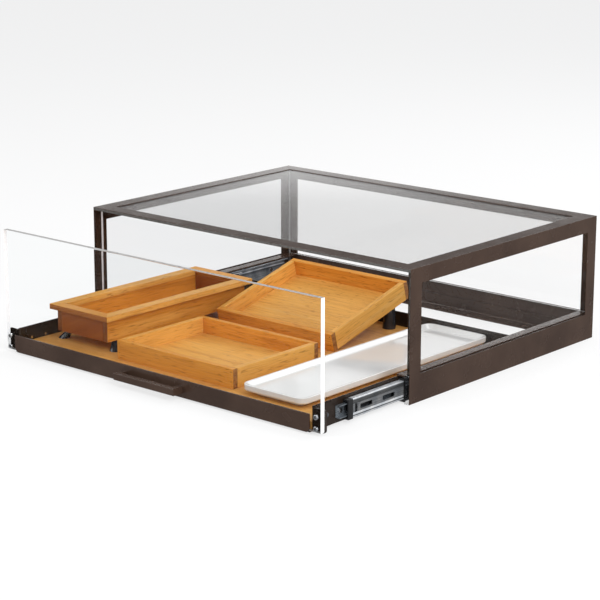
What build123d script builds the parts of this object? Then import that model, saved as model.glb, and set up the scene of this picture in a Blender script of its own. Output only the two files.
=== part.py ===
from build123d import *
import os
from math import cos, radians, sin, tan

# Countertop bread display bin: a case of clear panes edged with bronze bands, open at the front,
# and a drawer on telescopic slides that carries wooden trays and a platter.
#
# Frame, in millimetres: +X to the customer's right, +Y from the front to the back, +Z up.  The
# origin is at counter level under the middle of the assembly, with the drawer part of the way out.
# What stands on the right is drawn at its true place, and left-hand pieces are mirror images.

os.makedirs("parts", exist_ok=True)

# ---- Case ---------------------------------------------------------------------------------------
case_width = 650.0
case_depth = 477.0
case_height = 200.0
band_thickness = 1.0          # frames of bronze plate on the outside of the side and top panes
band_foot_gap = 0.3           # side frames to the counter, on which their panes stand
rear_bar_thickness = 4.8      # flat bar of the rear frame
post_width = 25.5             # front uprights of the side frames
rear_post_width = 23.5
side_top_rail = 23.7
bottom_rail = 42.6            # lower rail of the side and rear frames, which hides the slides
top_bar_width = 25.0
band_edge_round = 0.4
bar_edge_round = 0.6
side_pane_thickness = 8.6
pane_lip_thickness = 4.0      # outer part of the side pane, which reaches the front of the case
pane_rebate = 11.7            # its inner part starts this far behind
top_pane_thickness = 4.0
rear_pane_thickness = 4.8
pane_gap = 0.2
ledge_width = 15.2            # flat bar along each side pane, over the slide
ledge_thickness = 2.5
ledge_front_setback = 1.0
base_angle_height = 22.0      # angle along the foot of the rear frame
base_angle_depth = 25.0
base_angle_thickness = 2.5
base_angle_end_gap = 1.0      # to the slides

# ---- Slides -------------------------------------------------------------------------------------
slide_thickness = 12.7
slide_foot_gap = 2.5          # slide to counter
slide_setback = 4.0           # cabinet member behind the front of the case
slide_rear_gap = 19.2         # cabinet member to rear frame
stop_thickness = 3.0          # moulded stop round the mouth of the cabinet member
stop_clearance = 0.4          # stop to the moulded buffer that passes through it
sheet = 1.0                   # rolled steel of the three members
bend_radius = 1.4             # to the middle of the sheet
cabinet_member_height = 35.0
outer_race_gap = 2.5          # between the flanges of two members, where the balls run
inner_race_gap = 3.6
ball_clearance = 0.05
member_lip = 0.5              # in-turned edge of the cabinet member, beyond its bend
middle_web_gap = 1.3          # web of the middle member to web of the cabinet member
cabinet_tip_gap = 2.8         # edges of two members to the drawer's side
middle_tip_gap = 1.4
drawer_flange = 8.1           # width of the drawer member's flanges
outer_ball_setback = 6.5      # middle of each row of balls to the drawer's side
inner_ball_setback = 4.9
balls_in_row = 6
cage_sheet = 0.5
outer_cage_gap = 0.45         # cage to the web of the cabinet member
inner_cage_gap = 0.4          # cage to the web of the middle member
cage_strip_margin = 0.8       # cage sheet beyond its balls
outer_cage_length = 150.0
inner_cage_length = 180.0
outer_cage_start = 157.5      # behind the front of the case, with the drawer closed
inner_cage_start = 146.0
middle_share = 0.689          # share of the drawer's travel that the middle member makes
middle_closed_setback = 10.5
buffer_length = 10.0          # moulded buffer on the front of the middle member
buffer_rise = 0.4             # buffer beyond the outside of the middle member
buffer_leg = 3.0
buffer_web = 1.8
drawer_member_setback = 40.0  # behind the front of the case, with the drawer closed
slot_length = 27.0            # windows in the web of the middle member
slot_height = 6.8
slot_pitch = 50.0
pad_length = 88.0             # raised pad round the front windows
pad_height = 16.0
pad_rise = 0.4
pad_inset = 10.4
notch_length = 5.0            # small window ahead of the pad
notch_height = 13.0
notch_setback = 7.5
slide_screw_inset = 35.0
slide_screw_radius = 2.0
slide_screw_clearance = 0.1
slide_screw_head_radius = 3.4
slide_screw_head = 1.8
slide_screw_bite = 5.0        # slide screws into the side pane
screw_tip_gap = 1.0           # end of a screw to the bottom of its hole
lever_length = 70.0           # release lever in the drawer member
lever_height = 9.0
lever_thickness = 3.0
lever_setback = 18.0
lever_tab_length = 9.0        # finger tab on the lever
lever_tab_height = 4.5
lever_tab_rise = 1.5

# ---- Drawer -------------------------------------------------------------------------------------
drawer_opened = 178.4         # how far the drawer stands out here
closing_gap = 5.6             # front panel to case when closed
pan_sheet = 1.2
pan_base_gap = 0.7            # pan to the base angle, when closed
lip_ledge_gap = 0.6           # upturned lips of the pan to the ledges over them
pan_rear_clearance = 9.3      # pan to rear frame when closed
board_thickness = 12.1
board_gap = 0.5
panel_thickness = 8.0
panel_end_inset = 2.8         # ends of the panel to the outside of the case
panel_top_gap = 4.5           # top edge of the panel to the top of the case
panel_bottom = 5.2
front_rail_overhang = 0.3     # front rail beyond the sides of the pan
front_rail_height = 27.0
front_rail_thickness = 2.0
front_rail_bottom = 3.0
front_rail_corner = 5.0
bracket_thickness = 2.0
bracket_bottom = 3.5
bracket_height = 34.0
bracket_corner = 5.0
bracket_leg_length = 36.0
bracket_leg_thickness = 1.2
rivet_radius = 2.0
rivet_head_radius = 3.2
rivet_head = 0.9
rivet_spacing = 16.0
panel_screw_radius = 2.0
panel_screw_clearance = 0.25
panel_screw_head_radius = 3.9
panel_screw_head = 2.3
panel_screw_head_round = 1.1
panel_screw_socket = 4.2
panel_screw_socket_depth = 1.9
panel_screw_inset = 8.1       # from the panel's end
panel_screw_height = 18.9     # middle of each pair
panel_screw_spacing = 16.7
panel_nut_width = 7.0
panel_nut_height = 3.2
panel_nut_clearance = 0.05
bumper_gap = 0.4              # bumper to side frame when closed
bumper_width = 4.0
bumper_band_gap = 0.6         # bumper to the band outside the pane that it meets
bumper_height = 8.0
handle_length = 124.0
handle_height = 10.5
handle_bottom = 10.0
handle_bar_depth = 9.0
handle_stand_off = 10.0
handle_post_width = 9.0
handle_round = 0.8
handle_screw_radius = 2.0
handle_screw_head_radius = 3.6
handle_screw_depth = 12.0
countersink_angle = 82.0

# ---- Trays and platter --------------------------------------------------------------------------
# The raised box stands on the left of the drawer, the platter on the right, and the two trays one
# behind the other between them.  Depths follow from the room that the drawer has.
box_lip_gap = 23.9            # rim of the raised box to the left lip of the pan
box_setback = 52.0            # body of the raised box behind the front panel
box_rear_gap = 97.6           # rim of the raised box to the rear lip of the pan
box_body_width = 112.3
box_body_height = 35.0
box_underside = 15.0          # clear height under the box
box_rim_height = 8.5
box_rim_overhang = 8.4
box_wall = 10.0
box_floor = 6.0
box_foot_radius = 9.0          # where it stands on the board
box_foot_top_radius = 5.5
box_foot_inset_x = 6.0        # middle of each foot's top to the sides of the body
box_foot_inset_y = 22.0
box_foot_splay = 8.0          # how far each foot leans out along X and Y
platter_lip_gap = 41.5        # platter to the right lip of the pan
platter_setback = 28.0
platter_rear_gap = 1.3
platter_width = 119.0
platter_height = 16.5
platter_corner = 15.0
platter_foot_height = 6.0     # foot that the dish stands on, inside its rim
platter_foot_inset = 14.0
platter_foot_corner = 8.0
platter_rim = 3.5             # top of the rim, before its edges are rounded
platter_floor_height = 10.5
platter_floor_inset = 11.0
platter_floor_corner = 7.0
platter_under_round = 4.0
platter_rim_round = 1.5
tray_side_room = 49.5         # what the raised box and the platter leave beside each tray
front_tray_box_gap = 27.5     # left side of each tray to the rim of the raised box
rear_tray_box_gap = 12.5
front_tray_setback = 38.0
tray_spacing = 54.0           # front tray to the lower front edge of the rear tray
rear_tray_rear_gap = 0.9      # lower rear edge of the rear tray to the rear lip of the pan
rear_tray_depth = 193.0
rear_tray_tilt = 15.0
tray_height = 30.0
tray_wall = 9.0
tray_floor = 5.0
rear_foot_radius = 11.0
rear_foot_top_radius = 8.0
rear_foot_inset_x = 24.0
rear_foot_inset_y = 22.0
rest_gap = 0.1                # under a tilted edge that stands on the board

# ---- Derived places -----------------------------------------------------------------------------
case_inner = case_width / 2 - band_thickness
wall_inner = case_inner - side_pane_thickness
panel_setback = closing_gap + drawer_opened
handle_reach = panel_thickness + front_rail_thickness + handle_stand_off + handle_bar_depth
case_rear = (case_depth + panel_setback + handle_reach) / 2
case_front = case_rear - case_depth
case_middle = (case_front + case_rear) / 2
rear_plate_front = case_rear - rear_bar_thickness
top_underside = case_height - band_thickness
pane_top = top_underside - top_pane_thickness
window_front = case_front + post_width
window_depth = case_depth - post_width - rear_post_width
window_height = case_height - side_top_rail - bottom_rail
window_middle_z = bottom_rail + window_height / 2

slide_length = case_depth - rear_bar_thickness - slide_setback - slide_rear_gap
slide_centre_height = slide_foot_gap + cabinet_member_height / 2
middle_web_depth = sheet + middle_web_gap
middle_member_height = cabinet_member_height - 2 * (sheet + outer_race_gap)
drawer_member_height = middle_member_height - 2 * (sheet + inner_race_gap)

lip_outer = wall_inner - slide_thickness
lip_inner = lip_outer - pan_sheet
panel_back = case_front - panel_setback
panel_front = panel_back - panel_thickness
rail_front = panel_front - front_rail_thickness
pan_underside = base_angle_thickness + pan_base_gap
pan_top = pan_underside + pan_sheet
lip_top = bottom_rail - ledge_thickness - lip_ledge_gap
board_top = pan_top + board_thickness
pan_rear = rear_plate_front - pan_rear_clearance - drawer_opened
pan_inner_rear = pan_rear - pan_sheet
middle_travel = middle_share * drawer_opened

cabinet_front = case_front + slide_setback
cabinet_rear = cabinet_front + slide_length
slide_screw_places = [cabinet_front + slide_screw_inset, cabinet_front + slide_length / 2,
                      cabinet_rear - slide_screw_inset]
screw_hole = slide_screw_radius + slide_screw_clearance
head_hole = slide_screw_head_radius + slide_screw_clearance


def section_at(y):
    """The upright plane across the bin at y, seen from the front: its own x is X and its y is Z."""
    return Plane.XZ.offset(-y)


def slide_x(depth):
    """X on the right-hand slide, at a depth measured from the side pane towards the drawer."""
    return wall_inner - depth


def block(x, y, z, mode=Mode.ADD):
    """A square-edged bar between two limits along each axis."""
    with Locations(((x[0] + x[1]) / 2, (y[0] + y[1]) / 2, (z[0] + z[1]) / 2)):
        Box(x[1] - x[0], y[1] - y[0], z[1] - z[0], mode=mode)


def peg(x, y, z, radius, mode=Mode.ADD):
    """A round pin along whichever axis is given as a pair of limits."""
    spans = [s if isinstance(s, tuple) else (s, s) for s in (x, y, z)]
    lengths = [high - low for low, high in spans]
    turn = [(0, 90, 0), (90, 0, 0), (0, 0, 0)][lengths.index(max(lengths))]
    with Locations(Location(tuple((low + high) / 2 for low, high in spans), turn)):
        Cylinder(radius, max(lengths), mode=mode)


def save(piece, label):
    """Label a finished piece and write it."""
    piece.part.label = label
    export_step(piece.part, f"parts/{label}.step")


def save_pair(piece, name):
    """Write a right-hand piece and its mirror image for the left-hand side."""
    save(piece, f"{name}_right")
    with BuildPart() as left_hand:
        mirror(piece.part, about=Plane.YZ)
    save(left_hand, f"{name}_left")


# ---- Case frames --------------------------------------------------------------------------------
with BuildPart() as side_frame:
    with BuildSketch(Plane.YZ.offset(case_inner)):
        with Locations((case_middle, (case_height + band_foot_gap) / 2)):
            Rectangle(case_depth, case_height - band_foot_gap)
        with Locations((window_front + window_depth / 2, window_middle_z)):
            Rectangle(window_depth, window_height, mode=Mode.SUBTRACT)
    extrude(amount=band_thickness)
    fillet(side_frame.faces().sort_by(Axis.X)[-1].edges(), band_edge_round)
save_pair(side_frame, "side_frame")

with BuildPart() as top_frame:
    with BuildSketch(Plane.XY.offset(top_underside)):
        with Locations((0, case_middle)):
            Rectangle(2 * case_inner, case_depth)
            Rectangle(case_width - 2 * top_bar_width, case_depth - 2 * top_bar_width,
                      mode=Mode.SUBTRACT)
    extrude(amount=band_thickness)
    free_edges = top_frame.faces().sort_by(Axis.Z)[-1].edges()
    fillet(free_edges.filter_by(lambda e: abs(e.center().X) < case_inner - band_edge_round),
           band_edge_round)
save(top_frame, "top_frame")

with BuildPart() as rear_frame:
    with BuildSketch(section_at(case_rear)):
        with Locations((0, top_underside / 2)):
            Rectangle(2 * case_inner, top_underside)
        with Locations((0, window_middle_z)):
            Rectangle(case_width - 2 * rear_post_width, window_height, mode=Mode.SUBTRACT)
    extrude(amount=rear_bar_thickness)
    outer_edges = rear_frame.faces().sort_by(Axis.Y)[-1].edges()
    fillet(outer_edges.filter_by(lambda e: abs(e.center().X) < case_inner - bar_edge_round
                                 and e.center().Z < top_underside - bar_edge_round), bar_edge_round)
save(rear_frame, "rear_frame")

with BuildPart() as side_ledge:
    block((wall_inner - ledge_width, wall_inner), (case_front + ledge_front_setback, rear_plate_front),
          (bottom_rail - ledge_thickness, bottom_rail))
    inner_edges = side_ledge.faces().sort_by(Axis.X)[0].edges().filter_by(Axis.Y)
    fillet(inner_edges, bar_edge_round)
save_pair(side_ledge, "side_ledge")

with BuildPart() as rear_base_angle:
    base_angle_half = lip_outer - base_angle_end_gap
    block((-base_angle_half, base_angle_half),
          (rear_plate_front - base_angle_depth, rear_plate_front), (0, base_angle_thickness))
    block((-base_angle_half, base_angle_half),
          (rear_plate_front - base_angle_thickness, rear_plate_front), (0, base_angle_height))
    inside_corner = rear_base_angle.edges().filter_by(Axis.X).sort_by_distance(
        (0, rear_plate_front - base_angle_thickness, base_angle_thickness))[0]
    fillet(inside_corner, base_angle_thickness)
save(rear_base_angle, "rear_base_angle")

# ---- Panes --------------------------------------------------------------------------------------
# The side panes stand on the counter and carry the case, the top pane lies on them under the top
# frame, and the rear pane stands between them on the ends of the ledges.
with BuildPart() as side_pane:
    block((wall_inner, case_inner), (case_front, rear_plate_front), (0, pane_top))
    block((wall_inner, case_inner - pane_lip_thickness), (case_front, case_front + pane_rebate),
          (bottom_rail, pane_top), Mode.SUBTRACT)
    for y in slide_screw_places:
        peg((wall_inner, wall_inner + slide_screw_head - sheet), y, slide_centre_height, head_hole,
            Mode.SUBTRACT)
        peg((wall_inner, wall_inner + slide_screw_bite + screw_tip_gap), y, slide_centre_height,
            screw_hole, Mode.SUBTRACT)
save_pair(side_pane, "side_pane")

with BuildPart() as top_pane:
    block((-case_inner + pane_gap, case_inner - pane_gap),
          (case_front, rear_plate_front - pane_gap), (pane_top, top_underside))
save(top_pane, "top_pane")

with BuildPart() as rear_pane:
    rear_pane_half = wall_inner - pane_gap
    block((-rear_pane_half, rear_pane_half),
          (rear_plate_front - rear_pane_thickness, rear_plate_front), (bottom_rail, pane_top))
save(rear_pane, "rear_pane")

# ---- Slides -------------------------------------------------------------------------------------
def channel(web_depth, tip_depth, height, front, length, lip=0.0):
    """A rolled channel that lies along the slide, its web at one depth and its flanges' tips at
    another.  Where a lip is given, the tips are turned in and run on by that much."""
    half = (height - sheet) / 2
    inward = 1 if tip_depth > web_depth else -1
    web = slide_x(web_depth + inward * sheet / 2)
    tip = slide_x(tip_depth - (inward * sheet / 2 if lip else 0))
    points = [(tip, half), (web, half), (web, -half), (tip, -half)]
    if lip:
        turned_in = half - bend_radius - lip
        points = [(tip, turned_in), *points, (tip, -turned_in)]
    with BuildSketch(section_at(front + length)) as outline:
        with BuildLine():
            FilletPolyline(*[(x, z + slide_centre_height) for x, z in points], radius=bend_radius)
        trace(line_width=sheet)
    extrude(outline.sketch, amount=length)


with BuildPart() as cabinet_member:
    channel(0, slide_thickness - cabinet_tip_gap, cabinet_member_height, cabinet_front, slide_length,
            member_lip)
    for y in slide_screw_places:
        peg((slide_x(sheet), slide_x(0)), y, slide_centre_height, head_hole, Mode.SUBTRACT)
save_pair(cabinet_member, "cabinet_member")

with BuildPart() as cabinet_screws:
    for y in slide_screw_places:
        peg((slide_x(sheet), slide_x(sheet) + slide_screw_head), y, slide_centre_height,
            slide_screw_head_radius)
        peg((slide_x(sheet) + slide_screw_head, wall_inner + slide_screw_bite), y,
            slide_centre_height, slide_screw_radius)
save_pair(cabinet_screws, "cabinet_screws")


def mouth(outer_depths, outer_half, inner_depth, inner_half, front, length):
    """A moulded piece round the mouth of a member, open towards the drawer: two legs over and under
    an opening, joined by a web on the side pane's side."""
    x = tuple(slide_x(depth) for depth in outer_depths)
    block(x, (front, front + length),
          (slide_centre_height - outer_half, slide_centre_height + outer_half))
    block((x[0], slide_x(inner_depth)), (front, front + length),
          (slide_centre_height - inner_half, slide_centre_height + inner_half), Mode.SUBTRACT)


buffer_depth = middle_web_depth - buffer_rise
buffer_half = middle_member_height / 2 + buffer_rise

with BuildPart() as slide_stop:
    mouth((slide_thickness - cabinet_tip_gap, 0), cabinet_member_height / 2,
          buffer_depth - stop_clearance, buffer_half + stop_clearance,
          cabinet_front - stop_thickness, stop_thickness)
save_pair(slide_stop, "slide_stop")

middle_front = case_front + middle_closed_setback - middle_travel
middle_length = slide_length + slide_setback - middle_closed_setback
middle_rear = middle_front + middle_length
pad_centres = [middle_front + pad_inset + pad_length / 2, (middle_front + middle_rear) / 2,
               middle_rear - pad_inset - pad_length / 2]

with BuildPart() as middle_member:
    channel(middle_web_depth, slide_thickness - middle_tip_gap, middle_member_height, middle_front,
            middle_length)
    with BuildSketch(Plane.YZ.offset(slide_x(middle_web_depth))):
        with Locations((pad_centres[0], slide_centre_height)):
            SlotOverall(pad_length, pad_height)
    extrude(amount=pad_rise)
    with BuildSketch(Plane.YZ.offset(slide_x(middle_web_depth + sheet))):
        slots = [y + shift for y in pad_centres for shift in (-slot_pitch / 2, slot_pitch / 2)]
        with Locations([(y, slide_centre_height) for y in slots]):
            RectangleRounded(slot_length, slot_height, slot_height / 4)
        with Locations((middle_front + notch_setback, slide_centre_height)):
            Rectangle(notch_length, notch_height)
    extrude(amount=sheet + pad_rise, mode=Mode.SUBTRACT)
save_pair(middle_member, "middle_member")

with BuildPart() as slide_buffer:
    mouth((slide_thickness - middle_tip_gap, buffer_depth), buffer_half, buffer_depth + buffer_web,
          buffer_half - buffer_leg, middle_front - buffer_length, buffer_length)
    front_edges = slide_buffer.faces().sort_by(Axis.Y)[0].edges()
    fillet(front_edges.filter_by(lambda e: e.center().X > slide_x(buffer_depth + buffer_rise)),
           buffer_rise)
save_pair(slide_buffer, "slide_buffer")

drawer_member_front = case_front + drawer_member_setback - drawer_opened
drawer_member_length = slide_length - drawer_member_setback
drawer_member_rear = drawer_member_front + drawer_member_length
drawer_screw_places = [drawer_member_front + lever_setback / 2,
                       drawer_member_front + drawer_member_length / 2,
                       drawer_member_rear - slide_screw_inset]

with BuildPart() as drawer_member:
    channel(slide_thickness, slide_thickness - drawer_flange, drawer_member_height,
            drawer_member_front, drawer_member_length)
    for y in drawer_screw_places:
        peg((slide_x(slide_thickness), slide_x(slide_thickness - sheet)), y, slide_centre_height,
            screw_hole, Mode.SUBTRACT)
save_pair(drawer_member, "drawer_member")

with BuildPart() as drawer_member_screws:
    head_seat = slide_x(slide_thickness - sheet)
    for y in drawer_screw_places:
        peg((head_seat, head_seat + slide_screw_head), y, slide_centre_height,
            slide_screw_head_radius)
        peg((lip_inner, head_seat), y, slide_centre_height, slide_screw_radius)
save_pair(drawer_member_screws, "drawer_member_screws")

with BuildPart() as release_lever:
    lever_front = drawer_member_front + lever_setback
    lever_x = slide_x(slide_thickness - sheet)
    with BuildSketch(Plane.YZ.offset(lever_x)):
        with Locations((lever_front + lever_length / 2, slide_centre_height)):
            SlotOverall(lever_length, lever_height)
    extrude(amount=lever_thickness)
    with BuildSketch(Plane.YZ.offset(lever_x + lever_thickness)):
        with Locations((lever_front + lever_tab_length, slide_centre_height)):
            Rectangle(lever_tab_length, lever_tab_height)
    extrude(amount=lever_tab_rise)
save_pair(release_lever, "release_lever")


def ball_cage(start, length, web_depth, ball_depth, race_inside, race_gap):
    """A cage for two rows of balls, folded from strip, and its balls.  Each row runs in the gap
    between the flanges of two members, which starts race_inside from the middle of the slide."""
    ball = race_gap - 2 * ball_clearance
    row_height = race_inside + race_gap / 2
    strip_tip = slide_x(ball_depth + ball / 2 + cage_strip_margin)
    web = slide_x(web_depth + cage_sheet / 2)
    pitch = length / balls_in_row
    rows = [(slide_x(ball_depth), start + (i + 0.5) * pitch, slide_centre_height + side * row_height)
            for i in range(balls_in_row) for side in (-1, 1)]
    with BuildPart() as cage:
        with BuildSketch(section_at(start + length)):
            with BuildLine():
                outline = [(strip_tip, row_height), (web, row_height),
                           (web, -row_height), (strip_tip, -row_height)]
                Polyline(*[(x, z + slide_centre_height) for x, z in outline])
            trace(line_width=cage_sheet)
        extrude(amount=length)
        for x, y, z in rows:
            peg(x, y, (z - ball / 2, z + ball / 2), ball / 2 + ball_clearance, Mode.SUBTRACT)
    with BuildPart() as balls:
        with Locations(rows):
            Sphere(ball / 2)
    return cage, balls


outer_cage, outer_balls = ball_cage(
    case_front + outer_cage_start - middle_travel / 2, outer_cage_length, sheet + outer_cage_gap,
    slide_thickness - outer_ball_setback, middle_member_height / 2, outer_race_gap)
inner_cage, inner_balls = ball_cage(
    case_front + inner_cage_start - (middle_travel + drawer_opened) / 2, inner_cage_length,
    middle_web_depth + sheet + inner_cage_gap, slide_thickness - inner_ball_setback,
    drawer_member_height / 2, inner_race_gap)
save_pair(outer_cage, "outer_ball_cage")
save_pair(outer_balls, "outer_balls")
save_pair(inner_cage, "inner_ball_cage")
save_pair(inner_balls, "inner_balls")

# ---- Drawer -------------------------------------------------------------------------------------
with BuildPart() as drawer_pan:
    block((-lip_outer, lip_outer), (panel_front, pan_rear), (pan_underside, pan_top))
    for side in (-1, 1):
        edges = sorted((side * lip_inner, side * lip_outer))
        block(tuple(edges), (panel_back, pan_rear), (pan_underside, lip_top))
    block((-lip_outer, lip_outer), (pan_inner_rear, pan_rear), (pan_underside, lip_top))
    for y in drawer_screw_places:
        for side in (-1, 1):
            peg(tuple(sorted((side * lip_inner, side * lip_outer))), y, slide_centre_height,
                screw_hole, Mode.SUBTRACT)
    bracket_rivet_places = [panel_back + bracket_leg_length / 2 + shift
                            for shift in (-rivet_spacing / 2, rivet_spacing / 2)]
    for y in bracket_rivet_places:
        for side in (-1, 1):
            peg(tuple(sorted((side * lip_inner, side * lip_outer))), y, slide_centre_height,
                rivet_radius, Mode.SUBTRACT)
save(drawer_pan, "drawer_pan")

with BuildPart() as drawer_board:
    board_half = lip_inner - board_gap
    block((-board_half, board_half), (panel_back + board_gap, pan_inner_rear - board_gap),
          (pan_top, board_top))
save(drawer_board, "drawer_board")

handle_post_x = (handle_length - handle_post_width) / 2
handle_middle_z = handle_bottom + handle_height / 2
handle_posts = [(side * handle_post_x, handle_middle_z) for side in (-1, 1)]

with BuildPart() as front_rail:
    front_rail_half = lip_outer + front_rail_overhang
    block((-front_rail_half, front_rail_half), (rail_front, panel_front),
          (front_rail_bottom, front_rail_bottom + front_rail_height))
    end_faces = front_rail.faces().filter_by(Axis.X)
    chamfer(end_faces.edges().filter_by(Axis.Y).group_by(Axis.Z)[0], front_rail_corner)
    fillet(front_rail.faces().sort_by(Axis.Y)[0].edges(), bar_edge_round)
    for x, z in handle_posts:
        with Locations(Plane(origin=(x, panel_front, z), z_dir=(0, 1, 0))):
            CounterSinkHole(screw_hole, handle_screw_head_radius + slide_screw_clearance,
                            front_rail_thickness, countersink_angle)
save(front_rail, "front_rail")

with BuildPart() as pull_handle:
    bar_back = rail_front - handle_stand_off
    block((-handle_length / 2, handle_length / 2), (bar_back - handle_bar_depth, bar_back),
          (handle_bottom, handle_bottom + handle_height))
    for x, z in handle_posts:
        block((x - handle_post_width / 2, x + handle_post_width / 2), (bar_back, rail_front),
              (handle_bottom, handle_bottom + handle_height))
    fillet(pull_handle.faces().sort_by(Axis.Y)[0].edges(), handle_round)
    for x, z in handle_posts:
        peg(x, (rail_front - handle_screw_depth, rail_front), z, screw_hole, Mode.SUBTRACT)
save(pull_handle, "pull_handle")

with BuildPart() as handle_screws:
    cone_length = (handle_screw_head_radius - handle_screw_radius) / tan(radians(countersink_angle / 2))
    for x, z in handle_posts:
        with Locations(Location((x, panel_front - cone_length / 2, z), (-90, 0, 0))):
            Cone(handle_screw_radius, handle_screw_head_radius, cone_length)
        peg(x, (rail_front - handle_screw_depth + screw_tip_gap, panel_front - cone_length), z,
            handle_screw_radius)
save(handle_screws, "handle_screws")

panel_half = case_width / 2 - panel_end_inset
panel_screw_points = [(side * (panel_half - panel_screw_inset), panel_screw_height + shift)
                      for side in (-1, 1) for shift in (-panel_screw_spacing / 2, panel_screw_spacing / 2)]
panel_hole = panel_screw_radius + panel_screw_clearance

with BuildPart() as front_panel:
    block((-panel_half, panel_half), (panel_front, panel_back),
          (panel_bottom, case_height - panel_top_gap))
    for x, z in panel_screw_points:
        peg(x, (panel_front, panel_back), z, panel_hole, Mode.SUBTRACT)
save(front_panel, "front_panel")

bracket_back = panel_back + bracket_thickness

with BuildPart() as panel_bracket:
    block((lip_outer, case_width / 2), (panel_back, bracket_back),
          (bracket_bottom, bracket_bottom + bracket_height))
    outer_end = panel_bracket.faces().sort_by(Axis.X)[-1]
    fillet(outer_end.edges().filter_by(Axis.Y), bracket_corner)
    block((lip_outer, lip_outer + bracket_leg_thickness),
          (bracket_back, panel_back + bracket_leg_length),
          (bracket_bottom, bracket_bottom + bracket_height))
    for x, z in panel_screw_points:
        if x > 0:
            peg(x, (panel_back, bracket_back), z, panel_hole, Mode.SUBTRACT)
    for y in bracket_rivet_places:
        peg((lip_outer, lip_outer + bracket_leg_thickness), y, slide_centre_height, rivet_radius,
            Mode.SUBTRACT)
save_pair(panel_bracket, "panel_bracket")

with BuildPart() as bracket_rivets:
    head_start = lip_outer + bracket_leg_thickness
    for y in bracket_rivet_places:
        peg((head_start, head_start + rivet_head), y, slide_centre_height, rivet_head_radius)
        peg((lip_inner, head_start), y, slide_centre_height, rivet_radius)
save_pair(bracket_rivets, "bracket_rivets")

with BuildPart() as panel_screws:
    for x, z in panel_screw_points:
        peg(x, (panel_front - panel_screw_head, panel_front), z, panel_screw_head_radius)
        peg(x, (panel_front, bracket_back + panel_nut_height), z, panel_screw_radius)
    head_faces = panel_screws.faces().filter_by(Axis.Y).group_by(Axis.Y)[0]
    fillet(head_faces.edges(), panel_screw_head_round)
    with BuildSketch(section_at(panel_front - panel_screw_head)):
        with Locations(panel_screw_points):
            RegularPolygon(panel_screw_socket / 2, 6, major_radius=False)
    extrude(amount=-panel_screw_socket_depth, mode=Mode.SUBTRACT)
save(panel_screws, "panel_screws")

with BuildPart() as panel_nuts:
    with BuildSketch(section_at(bracket_back + panel_nut_height)):
        with Locations(panel_screw_points):
            RegularPolygon(panel_nut_width / 2, 6, major_radius=False)
            Circle(panel_screw_radius + panel_nut_clearance, mode=Mode.SUBTRACT)
    extrude(amount=panel_nut_height)
save(panel_nuts, "panel_nuts")

with BuildPart() as closing_bumpers:
    bumper_x = case_inner - bumper_band_gap - bumper_width / 2
    bumper_back = case_front - drawer_opened - bumper_gap
    bumper_top = bracket_bottom + bracket_height - bracket_corner
    for side in (-1, 1):
        block((side * bumper_x - bumper_width / 2, side * bumper_x + bumper_width / 2),
              (bracket_back, bumper_back), (bumper_top - bumper_height, bumper_top))
save(closing_bumpers, "closing_bumpers")


# ---- Places on the drawer -----------------------------------------------------------------------
box_left = box_lip_gap + box_rim_overhang - lip_inner
box_rim_right = box_left + box_body_width + box_rim_overhang
box_front = panel_back + box_setback
box_body_depth = pan_inner_rear - box_rear_gap - box_rim_overhang - box_front
box_bottom = board_top + box_underside
box_centre = (box_left + box_body_width / 2, box_front + box_body_depth / 2)
box_hollow = (box_body_width - 2 * box_wall, box_body_depth - 2 * box_wall)

platter_front = panel_back + platter_setback
platter_depth = pan_inner_rear - platter_rear_gap - platter_front
platter_right = lip_inner - platter_lip_gap
platter_centre = (platter_right - platter_width / 2, platter_front + platter_depth / 2)

tray_width = platter_right - platter_width - box_rim_right - tray_side_room
tray_slope = radians(rear_tray_tilt)
rear_tray_front = pan_inner_rear - rear_tray_rear_gap - rear_tray_depth * cos(tray_slope)
front_tray_front = panel_back + front_tray_setback
front_tray_depth = rear_tray_front - tray_spacing - front_tray_front


# ---- Trays --------------------------------------------------------------------------------------
def tray(plane, depth, name):
    """A wooden tray, four walls round a floor, with its left front lower corner at the plane's
    origin."""
    inner_size = (tray_width - 2 * tray_wall, depth - 2 * tray_wall)
    with BuildPart() as walls:
        with BuildSketch(plane):
            with Locations((tray_width / 2, depth / 2)):
                Rectangle(tray_width, depth)
                Rectangle(*inner_size, mode=Mode.SUBTRACT)
        extrude(amount=tray_height)
    with BuildPart() as floor:
        with BuildSketch(plane):
            with Locations((tray_width / 2, depth / 2)):
                Rectangle(*inner_size)
        extrude(amount=tray_floor)
    save(walls, f"{name}_walls")
    save(floor, f"{name}_floor")


front_tray_plane = Plane((box_rim_right + front_tray_box_gap, front_tray_front, board_top))
tray(front_tray_plane, front_tray_depth, "front_tray")

rear_tray_plane = Plane(
    origin=(box_rim_right + rear_tray_box_gap, rear_tray_front, board_top + rest_gap),
    x_dir=(1, 0, 0), z_dir=(0, -sin(tray_slope), cos(tray_slope)))
tray(rear_tray_plane, rear_tray_depth, "rear_tray")

with BuildPart() as rear_tray_feet:
    foot_run = (rear_tray_depth - rear_foot_inset_y) * cos(tray_slope)
    foot_blank = (foot_run + rear_foot_radius) * tan(tray_slope) + rest_gap
    with Locations([(box_rim_right + rear_tray_box_gap + x, rear_tray_front + foot_run, board_top)
                    for x in (rear_foot_inset_x, tray_width - rear_foot_inset_x)]):
        Cone(rear_foot_radius, rear_foot_top_radius, foot_blank,
             align=(Align.CENTER, Align.CENTER, Align.MIN))
    split(bisect_by=rear_tray_plane, keep=Keep.BOTTOM)
save(rear_tray_feet, "rear_tray_feet")

# ---- Raised box ---------------------------------------------------------------------------------
with BuildPart() as display_box_body:
    with BuildSketch(Plane.XY.offset(box_bottom)):
        with Locations(box_centre):
            Rectangle(box_body_width, box_body_depth)
            Rectangle(*box_hollow, mode=Mode.SUBTRACT)
    extrude(amount=box_body_height)
save(display_box_body, "display_box_body")

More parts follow.
